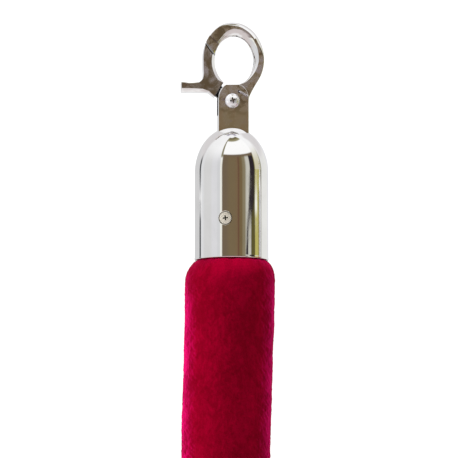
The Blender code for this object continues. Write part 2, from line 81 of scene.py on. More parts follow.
# camera: its direction from the target in degrees, then metres, and its lens in mm
VIEW_AZ, VIEW_EL = -5.0, -6.0
VIEW_TARGET, VIEW_DISTANCE = (-0.0011, 0.0, -0.08305), 1.6
FOCAL_LENGTH, SENSOR_WIDTH = 294.5, 36.0


# ---------------------------------------------------------------- node materials
def linear(r, g, b):
    """A linear colour from sRGB values of 0 to 255."""
    def one(c):
        c /= 255.0
        return c / 12.92 if c <= 0.04045 else ((c + 0.055) / 1.055) ** 2.4

    return (one(r), one(g), one(b), 1.0)


class Nodes:
    """A short way to write a node tree. Any value may be a number, a colour or a socket."""

    def __init__(self, tree):
        self.tree = tree
        self.link = tree.links.new

    def feed(self, target, value):
        if isinstance(value, bpy.types.NodeSocket):
            self.link(value, target)
        else:
            target.default_value = value

    def fill(self, node, **inputs):
        """Feeds inputs by name, with _ for each space."""
        for key, value in inputs.items():
            self.feed(node.inputs[key.replace("_", " ")], value)

    def add(self, kind, **inputs):
        node = self.tree.nodes.new(kind)
        self.fill(node, **inputs)
        return node

    def math(self, operation, a, b=0.0, c=0.0, clamp=False):
        node = self.tree.nodes.new("ShaderNodeMath")
        node.operation = operation
        node.use_clamp = clamp
        for target, value in zip(node.inputs, (a, b, c)):
            self.feed(target, value)
        return node.outputs[0]

    def times(self, value, share):
        return self.math("MULTIPLY", value, share)

    def affine(self, value, times, plus, clamp=False):
        return self.math("MULTIPLY_ADD", value, times, plus, clamp)

    def total(self, first, *others):
        for other in others:
            first = self.math("ADD", first, other)
        return first

    def spread(self, value, between, to=(0.0, 1.0)):
        """Maps one range to another, smoothly, and keeps to it."""
        node = self.tree.nodes.new("ShaderNodeMapRange")
        node.interpolation_type = "SMOOTHSTEP"
        for target, v in zip(node.inputs, (value, *between, *to)):
            self.feed(target, v)
        return node.outputs[0]

    def mix(self, factor, a, b):
        node = self.tree.nodes.new("ShaderNodeMix")
        node.data_type = "RGBA"
        node.clamp_factor = True
        for index, value in ((0, factor), (6, a), (7, b)):
            self.feed(node.inputs[index], value)
        return node.outputs[2]

    def mix_shader(self, factor, a, b):
        node = self.add("ShaderNodeMixShader")
        for target, value in zip(node.inputs, (factor, a.outputs[0], b.outputs[0])):
            self.feed(target, value)
        return node

    def vector(self, operation, first):
        node = self.tree.nodes.new("ShaderNodeVectorMath")
        node.operation = operation
        self.link(first, node.inputs[0])
        return node

    def axes(self, vector):
        return self.add("ShaderNodeSeparateXYZ", Vector=vector).outputs

    def noise(self, place, scale, detail=2.0, rough=0.5, stretch=None, distortion=0.0):
        if stretch:
            node = self.vector("MULTIPLY", place)
            node.inputs[1].default_value = stretch
            place = node.outputs[0]
        return self.add(
            "ShaderNodeTexNoise",
            Vector=place,
            Scale=scale,
            Detail=detail,
            Roughness=rough,
            Distortion=distortion,
        ).outputs[0]

    def bump(self, height, strength, distance, under=None):
        node = self.add("ShaderNodeBump", Height=height, Strength=strength, Distance=distance)
        if under is not None:
            self.link(under, node.inputs["Normal"])
        return node.outputs[0]


def new_material(name, viewport):
    mat = bpy.data.materials.new(name)
    mat.use_nodes = True
    mat.diffuse_color = viewport
    return mat, Nodes(mat.node_tree), mat.node_tree.nodes["Principled BSDF"]


def metal_material(name, colour, rough, smudge, corner_shade=0.0, corner_shade_colour=None, reach=0.0012,
                   scratch=0.02, metallic=1.0, waves=None, grey_reflection_range=(0.51, 0.37)):
    """Plated metal: the roughness wanders with handling, with fine wipe marks.

    The dark colour mixed in by ambient occlusion within reach is painted shade in corners and gaps;
    waves is the height of the unevenness in cast chrome, and also turns on a painted reflection on
    the upper flats, greyed over the last noise range given.
    """
    mat, n, shader = new_material(name, colour)
    place = n.add("ShaderNodeTexCoord").outputs["Object"]
    smear = n.noise(place, scale=70.0, detail=3.0, rough=0.6, distortion=0.6)
    wipe = n.noise(place, scale=900.0, stretch=(1.0, 1.0, 0.12))
    value = n.affine(n.spread(smear, between=(0.42, 0.72)), times=smudge, plus=rough)
    value = n.affine(n.spread(wipe, between=(0.55, 0.8)), times=smudge * 0.5, plus=value)
    n.fill(shader, Roughness=value, Metallic=metallic)
    darker = tuple(c * 0.93 for c in colour[:3]) + (1.0,)
    tint = n.mix(n.spread(smear, between=(0.3, 0.8)), colour, darker)
    # painted shade: where ambient occlusion finds corners and gaps, the colour is darkened towards
    # the given dark colour
    if corner_shade:
        edge = n.add("ShaderNodeAmbientOcclusion", Distance=reach)
        corner_shaded = n.spread(edge.outputs["AO"], between=(0.3, 0.8), to=(corner_shade, 0.0))
        tint = n.mix(corner_shaded, tint, corner_shade_colour)
    grain = n.noise(place, scale=2600.0, rough=0.6, stretch=(1.0, 1.0, 0.2))
    if waves:
        # cast and polished by hand: the flats aren't true. Painted reflection: patches on the upper
        # part of the faces that look along Y are tinted bluish and grey, and made a little less
        # metallic
        wave = n.noise(place, scale=130.0, rough=0.45, distortion=0.4)
        under = n.bump(wave, strength=0.7, distance=waves)
        patch = n.noise(place, scale=230.0, detail=3.0, rough=0.55, distortion=0.6)
        upper = n.spread(n.axes(place)[2], between=(-0.036, -0.027), to=(0.15, 1.0))
        turned_to = n.axes(n.add("ShaderNodeTexCoord").outputs["Normal"])[1]
        flat = n.spread(n.math("ABSOLUTE", turned_to), between=(0.93, 0.985))
        upper = n.times(upper, flat)
        bluer_reflection = n.times(n.spread(patch, between=(0.34, 0.70)), upper)
        tint = n.mix(bluer_reflection, tint, (0.82, 0.82, 1.0, 1.0))
        low = n.times(n.spread(patch, between=grey_reflection_range), upper)
        tint = n.mix(low, tint, (0.52, 0.50, 0.52, 1.0))
        n.fill(shader, Metallic=n.affine(bluer_reflection, times=-0.135, plus=1.0))
    else:
        wave = n.noise(place, scale=55.0, detail=1.0, rough=0.4)
        under = n.bump(wave, strength=0.5, distance=0.00004)
    normal = n.bump(grain, strength=scratch, distance=0.00006, under=under)
    n.fill(shader, Base_Color=tint, Normal=normal)
    return mat


def velvet_material():
    """Crimson pile. "cloth" is the place on the sleeve in mm, wrapped round it."""
    mat, n, shader = new_material("velvet_pile", linear(140, 0, 32))
    cloth = n.add("ShaderNodeAttribute")
    cloth.attribute_name = "cloth"
    place = cloth.outputs["Vector"]
    broad = n.noise(place, scale=0.045, distortion=0.5)
    mottle = n.noise(
        place, scale=0.19, detail=3.0, rough=0.62, stretch=(1.0, 1.0, 0.75), distortion=0.9
    )
    fleck = n.noise(place, scale=0.85, rough=0.6, stretch=(1.0, 1.0, 0.6))
    streak = n.noise(place, scale=0.8, rough=0.6, stretch=(1.0, 1.0, 0.14))
    fibre = n.noise(place, scale=4.2, rough=0.7, stretch=(1.0, 1.0, 0.45))
    facing = n.add("ShaderNodeLayerWeight", Blend=0.5).outputs["Facing"]
    # the pile leans: where it is brushed away it shows its dark depth, elsewhere its lit tips
    nap = n.total(
        n.times(mottle, share=0.6),
        n.times(fleck, share=0.4),
        n.affine(streak, times=0.24, plus=-0.12),
        n.affine(broad, times=0.5, plus=-0.25),
    )
    deep, tips = linear(112, 0, 21), linear(134, 0, 31)
    colour = n.mix(n.spread(nap, between=(0.36, 0.68)), deep, tips)
    bright = n.spread(fibre, between=(0.5, 0.75), to=(0.0, 0.25))
    colour = n.mix(bright, colour, linear(152, 0, 48))
    # the pile stands lighter in front where the sleeve closes on end A's cap
    _, across, down = n.axes(place)
    brushed = n.times(
        n.spread(down, between=(22.0, 9.0)), n.spread(across, between=(-15.0, -18.0))
    )
    colour = n.mix(n.times(brushed, share=0.5), colour, linear(160, 0, 42))
    # painted sheen: the outline is painted a lighter pink where the pile is seen at a slant, and a
    # painted shadow darkens the very last edge, where the pile shades itself
    grazing = n.spread(facing, between=(0.26, 0.92))
    edge = n.times(grazing, n.spread(nap, between=(0.34, 0.62), to=(0.22, 1.0)))
    edge = n.times(edge, n.spread(down, between=(8.0, 26.0), to=(0.3, 1.0)))
    colour = n.mix(edge, colour, linear(202, 8, 96))
    last = n.spread(facing, between=(0.9, 0.995), to=(0.0, 0.75))
    colour = n.mix(last, colour, linear(92, 0, 42))
    lumps = n.total(mottle, n.times(streak, share=0.3))
    low = n.bump(lumps, strength=0.4, distance=0.0008)
    mid = n.bump(fleck, strength=0.35, distance=0.0003, under=low)
    n.fill(
        shader,
        Base_Color=colour,
        Roughness=0.85,
        Specular_IOR_Level=0.02,
        Sheen_Weight=0.15,
        Sheen_Roughness=0.35,
        Sheen_Tint=linear(228, 36, 110),
        Normal=n.bump(fibre, strength=0.4, distance=0.00016, under=mid),
    )
    return mat


def cotton_material():
    """Twisted cotton strands of the rope's core."""
    mat, n, shader = new_material("cotton_strands", linear(222, 216, 200))
    place = n.add("ShaderNodeTexCoord").outputs["Object"]
    wave = n.add("ShaderNodeTexWave", Vector=place, Scale=90.0, Distortion=1.5)
    wave.bands_direction = "DIAGONAL"
    strand = wave.outputs[1]
    fluff = n.noise(place, scale=1500.0, detail=3.0, rough=0.6)
    n.fill(
        shader,
        Base_Color=n.mix(strand, linear(176, 166, 144), linear(228, 222, 206)),
        Roughness=0.95,
        Normal=n.bump(n.total(strand, n.times(fluff, share=0.4)), strength=0.8, distance=0.0006),
    )
    return mat


def wood_material():
    """Turned beech of the end plug, with its small flecks."""
    mat, n, shader = new_material("beech_wood", linear(196, 154, 108))
    place = n.add("ShaderNodeTexCoord").outputs["Object"]
    grain = n.noise(
        place, scale=260.0, detail=4.0, rough=0.6, stretch=(1.0, 1.0, 0.08), distortion=0.4
    )
    fleck = n.noise(place, scale=1400.0, detail=1.0, stretch=(1.0, 1.0, 0.25))
    streaks = n.spread(grain, between=(0.35, 0.65))
    colour = n.mix(streaks, linear(158, 112, 70), linear(208, 168, 122))
    dark = n.spread(fleck, between=(0.6, 0.75), to=(0.0, 0.5))
    n.fill(
        shader,
        Base_Color=n.mix(dark, colour, linear(120, 80, 48)),
        Roughness=n.affine(grain, times=0.3, plus=0.45),
        Normal=n.bump(grain, strength=0.4, distance=0.0002),
    )
    return mat


# cast chrome, with painted shade in its corners and gaps, and a painted reflection on its upper
# flats
CAST_CHROME = dict(
    colour=(0.95, 0.945, 0.94, 1.0),
    rough=0.035,
    smudge=0.05,
    corner_shade=0.85,
    corner_shade_colour=(0.10, 0.085, 0.06, 1.0),
    reach=0.0026,
    waves=0.0006,
)
CHROME = metal_material("polished_chrome", **CAST_CHROME)
# the gate's painted grey reflection patches spread over their own noise range
CHROME_GATE = metal_material("polished_chrome_gate", **CAST_CHROME, grey_reflection_range=(0.74, 0.45))
# a dark steel that paints shade into the gap at the gate's heel
PAINTED_SHADE_STEEL = metal_material("painted_shade_steel", (0.07, 0.065, 0.055, 1.0), rough=0.45, smudge=0.15)
# the cap, the screws and the zinc steel also get painted shade in their corners and recesses
CHROME_CAP = metal_material(
    "polished_chrome_cap", (0.96, 0.955, 0.95, 1.0), rough=0.03, smudge=0.035,
    corner_shade=0.85, corner_shade_colour=(0.10, 0.09, 0.07, 1.0), reach=0.002, scratch=0.012,
)
NICKEL = metal_material(
    "nickel_screw", (0.90, 0.86, 0.74, 1.0), rough=0.3, smudge=0.1,
    corner_shade=0.95, corner_shade_colour=(0.05, 0.06, 0.035, 1.0), reach=0.0016, metallic=0.55,
)
SCREW = metal_material(
    "plated_screw", (0.93, 0.93, 0.94, 1.0), rough=0.17, smudge=0.08,
    corner_shade=0.8, corner_shade_colour=(0.10, 0.09, 0.08, 1.0), metallic=0.75,
)
SPRING = metal_material("spring_steel", (0.72, 0.71, 0.73, 1.0), rough=0.2, smudge=0.1)
ZINC = metal_material(
    "zinc_steel", (0.62, 0.64, 0.66, 1.0), rough=0.3, smudge=0.15,
    corner_shade=0.5, corner_shade_colour=(0.2, 0.18, 0.15, 1.0), scratch=0.1,
)
VELVET = velvet_material()
COTTON = cotton_material()
BEECH = wood_material()


# ---------------------------------------------------------------- mesh helpers, millimetres
def link(name, data):
    obj = bpy.data.objects.new(name, data)
    bpy.context.scene.collection.objects.link(obj)
    return obj


def temp(mesh, name="temp"):
    """A working object."""
    return link(name, mesh)


def solid(obj):
    """The evaluated mesh of a working object, which is then removed."""
    bpy.context.view_layer.update()
    graph = bpy.context.evaluated_depsgraph_get()
    mesh = bpy.data.meshes.new_from_object(obj.evaluated_get(graph))
    bpy.data.objects.remove(obj, do_unlink=True)
    return mesh


def bevel(obj, width, segments, angle):
    mod = obj.modifiers.new("edges", "BEVEL")
    mod.width = width
    mod.segments = segments
    mod.limit_method = "ANGLE"
    mod.angle_limit = radians(angle)


def combine(obj, other_mesh, operation="DIFFERENCE"):
    other = temp(other_mesh, "other")
    mod = obj.modifiers.new("combine", "BOOLEAN")
    mod.operation = operation
    mod.solver = "EXACT"
    mod.object = other
    name = obj.name
    mesh = solid(obj)
    bpy.data.objects.remove(other, do_unlink=True)
    return temp(mesh, name)


def to_mesh(bm, name, recalc=True):
    if recalc:
        bmesh.ops.recalc_face_normals(bm, faces=bm.faces)
    mesh = bpy.data.meshes.new(name)
    bm.to_mesh(mesh)
    bm.free()
    return mesh


def about_y(x, z, angle):
    """A frame at (x, z), turned about Y."""
    return Matrix.Translation((x, 0, z)) @ Matrix.Rotation(radians(angle), 4, "Y")


def facing_front(x, z):
    """A frame at (x, z) whose Z points to the front."""
    return Matrix.Translation((x, 0, z)) @ Matrix.Rotation(radians(90), 4, "X")


def plate(outline, front, back):
    """A flat outline in X and Z filled between two depths in Y, its rims given a bevel weight."""
    bm = bmesh.new()
    face = bm.faces.new([bm.verts.new((x, front, z)) for x, z in outline])
    made = bmesh.ops.extrude_face_region(bm, geom=[face])
    moved = [v for v in made["geom"] if isinstance(v, bmesh.types.BMVert)]
    bmesh.ops.translate(bm, vec=(0, back - front, 0), verts=moved)
    rims = bm.edges.layers.float.new("bevel_weight_edge")
    for edge in bm.edges:
        a, b = edge.verts
        if abs(a.co.y - b.co.y) < 1e-6:
            edge[rims] = 1.0
    return to_mesh(bm, "plate")


def turned(profile, steps, place=None):
    """A turned solid about Z from (radius, z) points: a closed loop, or one with axis ends."""
    bm = bmesh.new()
    rows = []
    for r, z in profile:
        if r < 1e-9:
            rows.append([bm.verts.new((0, 0, z))])
            continue
        angles = [2 * pi * i / steps for i in range(steps)]
        rows.append([bm.verts.new((r * cos(a), r * sin(a), z)) for a in angles])
    pairs = list(zip(rows, rows[1:]))
    if profile[0][0] > 0 and profile[-1][0] > 0:
        pairs.append((rows[-1], rows[0]))
    for a, b in pairs:
        for i in range(steps):
            j = (i + 1) % steps
            corners = []
            for v in (a[i % len(a)], b[i % len(b)], b[j % len(b)], a[j % len(a)]):
                if v not in corners:
                    corners.append(v)
            if len(corners) > 2:
                bm.faces.new(corners)
    mesh = to_mesh(bm, "turned")
    if place:
        mesh.transform(place)
    return mesh


def block(low, high, place=None):
    bm = bmesh.new()
    bmesh.ops.create_cube(bm, size=1.0)
    bmesh.ops.scale(bm, vec=[b - a for a, b in zip(low, high)], verts=bm.verts)
    bmesh.ops.translate(bm, vec=[(a + b) / 2 for a, b in zip(low, high)], verts=bm.verts)
    mesh = to_mesh(bm, "block", recalc=False)
    if place:
        mesh.transform(place)
    return mesh


def wire(points, radius, sides=14):
    """A round wire along a line, with closed, slightly domed ends."""
    points = [Vector(p) for p in points]
    bm = bmesh.new()
    rows = []
    normal = None
    for i, p in enumerate(points):
        a, b = points[max(i - 1, 0)], points[min(i + 1, len(points) - 1)]
        tangent = (b - a).normalized()
        if normal is None:
            normal = tangent.orthogonal().normalized()
        normal = (normal - tangent * normal.dot(tangent)).normalized()
        side = tangent.cross(normal)
        angles = [2 * pi * k / sides for k in range(sides)]
        rows.append(
            [bm.verts.new(p + (normal * cos(a) + side * sin(a)) * radius) for a in angles]
        )
    for a, b in zip(rows, rows[1:]):
        for k in range(sides):
            bm.faces.new((a[k], a[(k + 1) % sides], b[(k + 1) % sides], b[k]))
    for row, p, q in ((rows[0], points[0], points[1]), (rows[-1], points[-1], points[-2])):
        tip = bm.verts.new(p + (p - q).normalized() * radius * 0.5)
        for k in range(sides):
            bm.faces.new((row[k], row[(k + 1) % sides], tip))
    return to_mesh(bm, "wire")


def curve_through(points, step=0.5):
    """A smooth line through the given points."""
    pts = [np.array(p, float) for p in points]
    pts = [2 * pts[0] - pts[1]] + pts + [2 * pts[-1] - pts[-2]]
    made = []
    for a, b, c, d in zip(pts, pts[1:], pts[2:], pts[3:]):
        count = max(2, int(np.linalg.norm(c - b) / step))
        square, cube = 2 * a - 5 * b + 4 * c - d, 3 * b - a - 3 * c + d
        for i in range(count):
            t = i / count
            made.append(0.5 * (2 * b + (c - a) * t + square * t**2 + cube * t**3))
    made.append(pts[-2])
    return [tuple(p) for p in made]


def on_oval(centre, semi, angle):
    a = radians(angle)
    return (centre[0] + semi[0] * cos(a), centre[1] + semi[1] * sin(a))


def oval(centre, semi, start, end, step):
    count = max(2, round(abs(end - start) / step))
    return [on_oval(centre, semi, start + (end - start) * i / count) for i in range(count + 1)]


def about_pivot(radius, angle):
    return on_oval(PIVOT, (radius, radius), angle)


def spread_widths(points, centre, semi, stops):
    """A chamfer width for each point, from (angle round an oval, width) stops."""
    angles = [
        degrees(atan2((z - centre[1]) / semi[1], (x - centre[0]) / semi[0])) for x, z in points
    ]
    stop_angles, stop_widths = zip(*stops)
    angles = [a + 360.0 if a < stop_angles[0] else a for a in angles]
    return [float(np.interp(a, stop_angles, stop_widths)) for a in angles]


def faceted(outline, widths, half, steep=68.0, flat=31.0, rows=7, deepest=2.05, slope=1.0):
    """A flat outline in X and Z, both faces edged by a slightly crowned chamfer.

    Each point has its own width, or a pair: that of the edge before it and of the edge after
    it. The chamfer is as deep as its width times the slope, down to the deepest, and its
    crown turns from the steep angle at the rim to the flat one.
    """
    count = len(outline)
    area = sum(
        outline[i - 1][0] * outline[i][1] - outline[i][0] * outline[i - 1][1]
        for i in range(count)
    )
    hand = 1.0 if area > 0 else -1.0
    top, low = radians(steep), radians(flat)
    bends = [top + (low - top) * k / rows for k in range(rows + 1)]
    across = [(sin(top) - sin(a)) / (sin(top) - sin(low)) for a in bends]
    down = [1.0 - (cos(a) - cos(top)) / (cos(low) - cos(top)) for a in bends]
    bm = bmesh.new()
    loops = {side: [[] for _ in range(rows + 1)] for side in (-1, 1)}
    for i, (x, z) in enumerate(outline):
        a, b = outline[i - 1], outline[(i + 1) % count]
        before = Vector((x - a[0], z - a[1])).normalized()
        after = Vector((b[0] - x, b[1] - z)).normalized()
        n0 = Vector((-before.y, before.x)) * hand
        n1 = Vector((-after.y, after.x)) * hand
        w0, w1 = widths[i] if isinstance(widths[i], tuple) else (widths[i], widths[i])
        c = n0.dot(n1)
        if 1 - c * c > 0.1:
            reach = n0 * ((w0 - w1 * c) / (1 - c * c)) + n1 * ((w1 - w0 * c) / (1 - c * c))
        else:
            reach = (n0 + n1) * ((w0 + w1) / 2 / (1 + c))
        deep = min(max(w0, w1) * (slope[i] if isinstance(slope, list) else slope), deepest)
        for side in (-1, 1):
            for k in range(rows + 1):
                y = side * (half - deep * down[k])
                point = (x + reach.x * across[k], y, z + reach.y * across[k])
                loops[side][k].append(bm.verts.new(point))
    chain = loops[-1][::-1] + loops[1]
    bm.faces.new(chain[0])
    bm.faces.new(chain[-1])
    for lower, upper in zip(chain, chain[1:]):
        for i in range(count):
            k = (i + 1) % count
            bm.faces.new((lower[i], lower[k], upper[k], upper[i]))
    return to_mesh(bm, "faceted")


# ---------------------------------------------------------------- hook and gate
# chamfer widths as (angle round the oval, width)
RING_EDGE = [
    (-90, 0.22), (-16, 0.22), (2, 0.35), (14, 1.1), (30, 1.8),
    (60, 1.85), (90, 1.6), (103, 1.15), (116, 0.3), (190, 0.25),
]
EYE_EDGE = [
    (-90, 0.3), (-58, 0.4), (-38, 0.8), (-20, 1.5), (0, 2.2), (20, 2.45), (45, 2.8),
    (90, 3.1), (104, 2.6), (122, 1.5), (138, 1.1), (180, 1.2), (270, 1.2),
]
GATE_EYE_EDGE = [(90, 0.9), (138, 1.0), (160, 1.25), (186, 1.45), (212, 1.45), (230, 1.4)]
RING_RIM, NECK_RIM, GATE_RIM = 0.22, 0.14, 0.2  # narrow chamfers elsewhere

# outlines and lines as (x, z)
RING_RIGHT = [(10.2, -21.0), (8.6, -23.9), (7.5, -26.3), (NECK_RIGHT, -28.6)]
NECK_LEFT_TOP = [
    (NECK_LEFT, -27.6), (-5.85, -25.7), (-5.3, -24.1), (-4.4, -22.7), (-3.5, -21.85),
    (-2.7, -21.45),
]
NECK_RIGHT_TOP = [
    (3.0, -21.35), (4.3, -21.9), (5.5, -23.0), (6.4, -24.6), (6.9, -26.4), (NECK_RIGHT, -27.8),
]
GATE_BACK = [
    (-12.45, -14.0), (-12.35, -16.6), (-12.8, -18.7), (-14.2, -20.1), (-16.4, -20.55),
    (-18.4, -20.6),
]
GATE_LEVER = [(-19.9, -20.35), (-21.8, -20.35), (-21.8, -24.5), (-19.9, -24.5), (-18.4, -24.4)]
GATE_LEVER_EDGE = [GATE_RIM, GATE_RIM, (GATE_RIM, 1.6), 1.6, 1.55]
GATE_HEEL = [(-12.6, -24.4), (-10.1, -24.5), (-7.5, -26.5), (-3.65, -20.3)]
GATE_HEEL_EDGE = [1.3, 0.5, 0.2, 0.25]
TONGUE_ARM = [(-4.0, -21.6), (-5.0, -20.9), (-9.4, -20.0), (-8.6, -23.4), (-7.6, -25.2),
              (-6.4, -26.0)]
TONGUE_R, TONGUE_FRONT, TONGUE_BACK = 4.6, 0.5, 2.4

TAIL = [(0, -40.0), (2.5, -40.0), (2.5, -55.5), (2.0, -56.0), (0, -56.0)]  # (radius, z)
SPRING_HOLE = (2.9, -24.4)
PIVOT_AXIS = facing_front(*PIVOT)
LAP_FRAME = about_y(*LAP, LAP_TURN)


def lap_block(low, high):
    """A block beside the lap line: its X runs from the gate's tip to the nose."""
    return block((low, -4, -10), (high, 4, 10), LAP_FRAME)


def pivot_bore():
    return turned([(0, 9), (BORE_R, 9), (BORE_R, -9), (0, -9)], 32, PIVOT_AXIS)


def ring_blank():
    """The hook's open ring, stepped at its nose."""
    ring = [(-12.5, -16.0)] + oval(RING_CENTRE, RING_SEMI, 178.0, -30.0, 3.0)
    right = [ring[-1], on_oval(RING_CENTRE, RING_SEMI, -38.0)] + RING_RIGHT
    right = curve_through(right, 0.6)[1:]
    foot = [(NECK_RIGHT - 0.3, -31.0), (2.4, -31.0)]
    inside = [on_oval(EYE_CENTRE, EYE_SEMI, -82.0)]
    inside += oval(EYE_CENTRE, EYE_SEMI, -60.0, 178.0, 3.5)
    widths = spread_widths(ring, RING_CENTRE, RING_SEMI, RING_EDGE)
    widths += [RING_RIM] * (len(right) + len(foot))
    widths += spread_widths(inside, EYE_CENTRE, EYE_SEMI, EYE_EDGE) + [0.25]
    inside.append((-7.3, -16.0))
    blank = temp(faceted(ring + right + foot + inside, widths, PLATE_HALF))
    blank = combine(blank, lap_block(-12, 0))
    # the step of the lap that the gate's tip closes on
    step = block((-1.6, -3.2, -7), (1.6, -1.75, 7), about_y(-7.9, -3.6, -48.0))
    return combine(blank, step)


def hook_mesh():
    blank = ring_blank()
    left, right = curve_through(NECK_LEFT_TOP), curve_through(NECK_RIGHT_TOP)
    outline = [(NECK_LEFT, NECK_END)] + left + right + [(NECK_RIGHT, NECK_END)]
    widths = [NECK_RIM]
    widths += [NECK_RIM + 0.2 * sin(pi * i / (len(left) - 1)) for i in range(len(left))]
    widths += [NECK_RIM] * (len(right) + 1)
    neck = temp(faceted(outline, widths, NECK_THICK / 2, rows=3))
    neck = combine(neck, solid(blank), "UNION")
    neck = combine(neck, turned(TAIL, 32), "UNION")
    # the fork's gap, open to the left and at the top
    neck = combine(neck, block((-9, -2.7, -34.3), (5.4, 2.7, -23.5)))
    neck = combine(neck, block((-9, -2.7, -24.0), (1.5, 2.7, -18.9)))
    neck = combine(neck, pivot_bore())
    # a drilled hole for the spring's fixed end
    hole = [(0, 6), (0.62, 6), (0.62, 2.2), (0, 2.2)]
    neck = combine(neck, turned(hole, 20, facing_front(*SPRING_HOLE)))
    return solid(neck)


def mark_gate_inside(mesh):
    """Chrome outside, and a dark steel on the tongue's faces by the heel: painted shade for the gap
    between the heel and the ear.
    """
    mesh.materials.clear()
    mesh.materials.append(CHROME_GATE)
    mesh.materials.append(PAINTED_SHADE_STEEL)
    for face in mesh.polygons:
        at = face.center
        tongue = 0.45 < at.y < 2.45 and at.x > -10.0 and at.z < -19.9
        right_of_heel = (at.x + 8.9) * 0.86 > (at.z + 26.6) * 0.51 - 0.2
        face.material_index = 1 if tongue and right_of_heel else 0


def gate_mesh():
    outer = [on_oval(RING_CENTRE, RING_SEMI, 110.0)]
    outer += oval(RING_CENTRE, RING_SEMI, 138.0, 184.0, 3.0)
    back = curve_through([outer[-1]] + GATE_BACK)[1:]
    inner = oval(EYE_CENTRE, EYE_SEMI, 226.0, 138.0, 3.5) + [on_oval(EYE_CENTRE, EYE_SEMI, 100.0)]
    widths = [GATE_RIM + 0.02] * (len(outer) + len(back)) + GATE_LEVER_EDGE + GATE_HEEL_EDGE
    slope = [0.66] * (len(widths) - 1) + [1.38] * (len(inner) + 1)
    widths += spread_widths(inner, EYE_CENTRE, EYE_SEMI, GATE_EYE_EDGE)
    outline = outer + back + GATE_LEVER + GATE_HEEL + inner
    gate = temp(faceted(outline, widths, PLATE_HALF, steep=47.0, flat=42.0, slope=slope))
    gate = combine(gate, lap_block(-0.42, 12))
    # the gate's tip is eased in front and behind, so its end catches the light
    for side in (-1, 1):
        ease = LAP_FRAME @ Matrix.Translation((-1.0, side * PLATE_HALF, 0))
        ease = ease @ Matrix.Rotation(radians(side * 45.0), 4, "Z")
        gate = combine(gate, block((0, -4, -10), (3, 4, 10), ease))
    # the tongue: a round eye about the pivot, and the arm that joins it to the gate
    tongue = [about_pivot(TONGUE_R, a) for a in range(-130, 81, 7)] + TONGUE_ARM
    tongue += [about_pivot(5.4, 165.0)] + [about_pivot(TONGUE_R, a) for a in (190.0, 200.0, 212.0)]
    gate = combine(gate, plate(tongue, TONGUE_FRONT, TONGUE_BACK), "UNION")
    mesh = solid(combine(gate, pivot_bore()))
    mark_gate_inside(mesh)
    return mesh


def spring_mesh():
    """Coils about the pivot inside the fork. The fixed end comes out of its hole in the ear."""
    front, back = -2.05, -0.15
    start, coils, coil_r, count = -35.0, 2.47, 2.6, 90
    coil = []
    for i in range(count):
        x, z = about_pivot(coil_r, start + 360.0 * coils * i / (count - 1))
        coil.append((x, front + (back - front) * i / (count - 1), z))
    fixed = [
        (6.5, -4.75, -26.2), (5.4, -4.85, -25.7), (4.1, -4.95, -24.95), (3.2, -4.8, -24.45),
        (2.9, -4.2, -24.4), (2.9, -3.0, -24.5), (3.2, -2.3, -25.6), (3.2, front, -26.8), coil[0],
    ]
    moving = [coil[-1], (-3.6, back, -25.4), (-4.9, back, -22.6)]
    line = curve_through(fixed, 0.3) + coil[1:-1] + curve_through(moving, 0.4)
    return wire(line, 0.38)


# ---------------------------------------------------------------- screws, nut, cap
RECESS_DEEP, RECESS_RUN_ON = 1.5, 4.5  # a recess has its full length here, then runs on open


def cross_recess(obj, half_length, half_width, low, place, turn, taper):
    """A crossed recess: two tapered wings that narrow downwards to low."""
    rows_at = (
        # z, share of the length, share of the width
        (low, taper, 0.8),
        (
            low + (RECESS_DEEP + RECESS_RUN_ON),
            1.0 + (1.0 - taper) * RECESS_RUN_ON / RECESS_DEEP,
            1.25,
        ),
    )
    corners = [(-1, -1), (1, -1), (1, 1), (-1, 1)]
    for k in (0, 90):
        bm = bmesh.new()
        rows = [
            [bm.verts.new((x * half_length * long, y * half_width * wide, z)) for x, y in corners]
            for z, long, wide in rows_at
        ]
        bm.faces.new(rows[0])
        bm.faces.new(rows[1])
        for i in range(4):
            j = (i + 1) % 4
            bm.faces.new((rows[0][i], rows[0][j], rows[1][j], rows[1][i]))
        mesh = to_mesh(bm, "wing")
        mesh.transform(place @ Matrix.Rotation(radians(turn + k), 4, "Z"))
        obj = combine(obj, mesh)
    return obj


def pivot_screw_mesh():
    """A domed head in front, and a shank that reaches through to the back."""
    ball, high, shank = 3.5, 1.95, 1.5
    head = []
    for i in range(17):
        a = radians(61.0 * i / 16)
        head.append((ball * sin(a), SEAT + high - ball * (1 - cos(a))))
    edge = [(3.18, SEAT + 0.15), (3.1, SEAT), (shank, SEAT)]
    end = [(shank, -SEAT - 2.4), (1.2, -SEAT - 2.7), (0, -SEAT - 2.7)]
    obj = temp(turned(head + edge + end, 48, PIVOT_AXIS))
    return solid(cross_recess(
        obj, half_length=1.5, half_width=0.3, low=SEAT + 0.6, place=PIVOT_AXIS, turn=12.0, taper=0.5
    ))


def pivot_nut_mesh():
    """A six-sided nut behind the neck."""
    nut_r, thick = 3.3, 2.2
    profile = [(0, -SEAT), (nut_r, -SEAT), (nut_r, -SEAT - thick), (0, -SEAT - thick)]
    nut = temp(turned(profile, 6, PIVOT_AXIS))
    # the turned corners of the nut
    cone = [(0, -SEAT + 3), (6.0, -SEAT + 3), (3.0, -SEAT - 2.6), (0, -SEAT - 2.6)]
    nut = combine(nut, turned(cone, 48, PIVOT_AXIS), "INTERSECT")
    nut = combine(nut, pivot_bore())
    bevel(nut, width=0.12, segments=2, angle=40.0)
    return solid(nut)


# a frame on the cap's axis at the screw's height, whose Z points out along the screw
CAP_SCREW_AXIS = (
    Matrix.Translation((0, 0, CAP_SCREW_Z))
    @ Matrix.Rotation(radians(CAP_SCREW_TURN), 4, "Z")
    @ Matrix.Rotation(radians(90), 4, "X")
)
# (radius, z) along that axis: a rounded lip, the countersink, then the hole
DIMPLE = [
    (0, 18.0), (5.2, 18.0), (3.25, 15.9), (3.0, 15.62), (2.85, 15.3), (1.85, 14.2),
    (1.85, 12.6), (0, 12.6),
]
CAP_SCREW_BODY = [
    (2.62, 15.22), (2.5, 15.1), (1.35, 14.0), (1.35, 4.6), (0.8, 4.0), (0, 4.0),
]


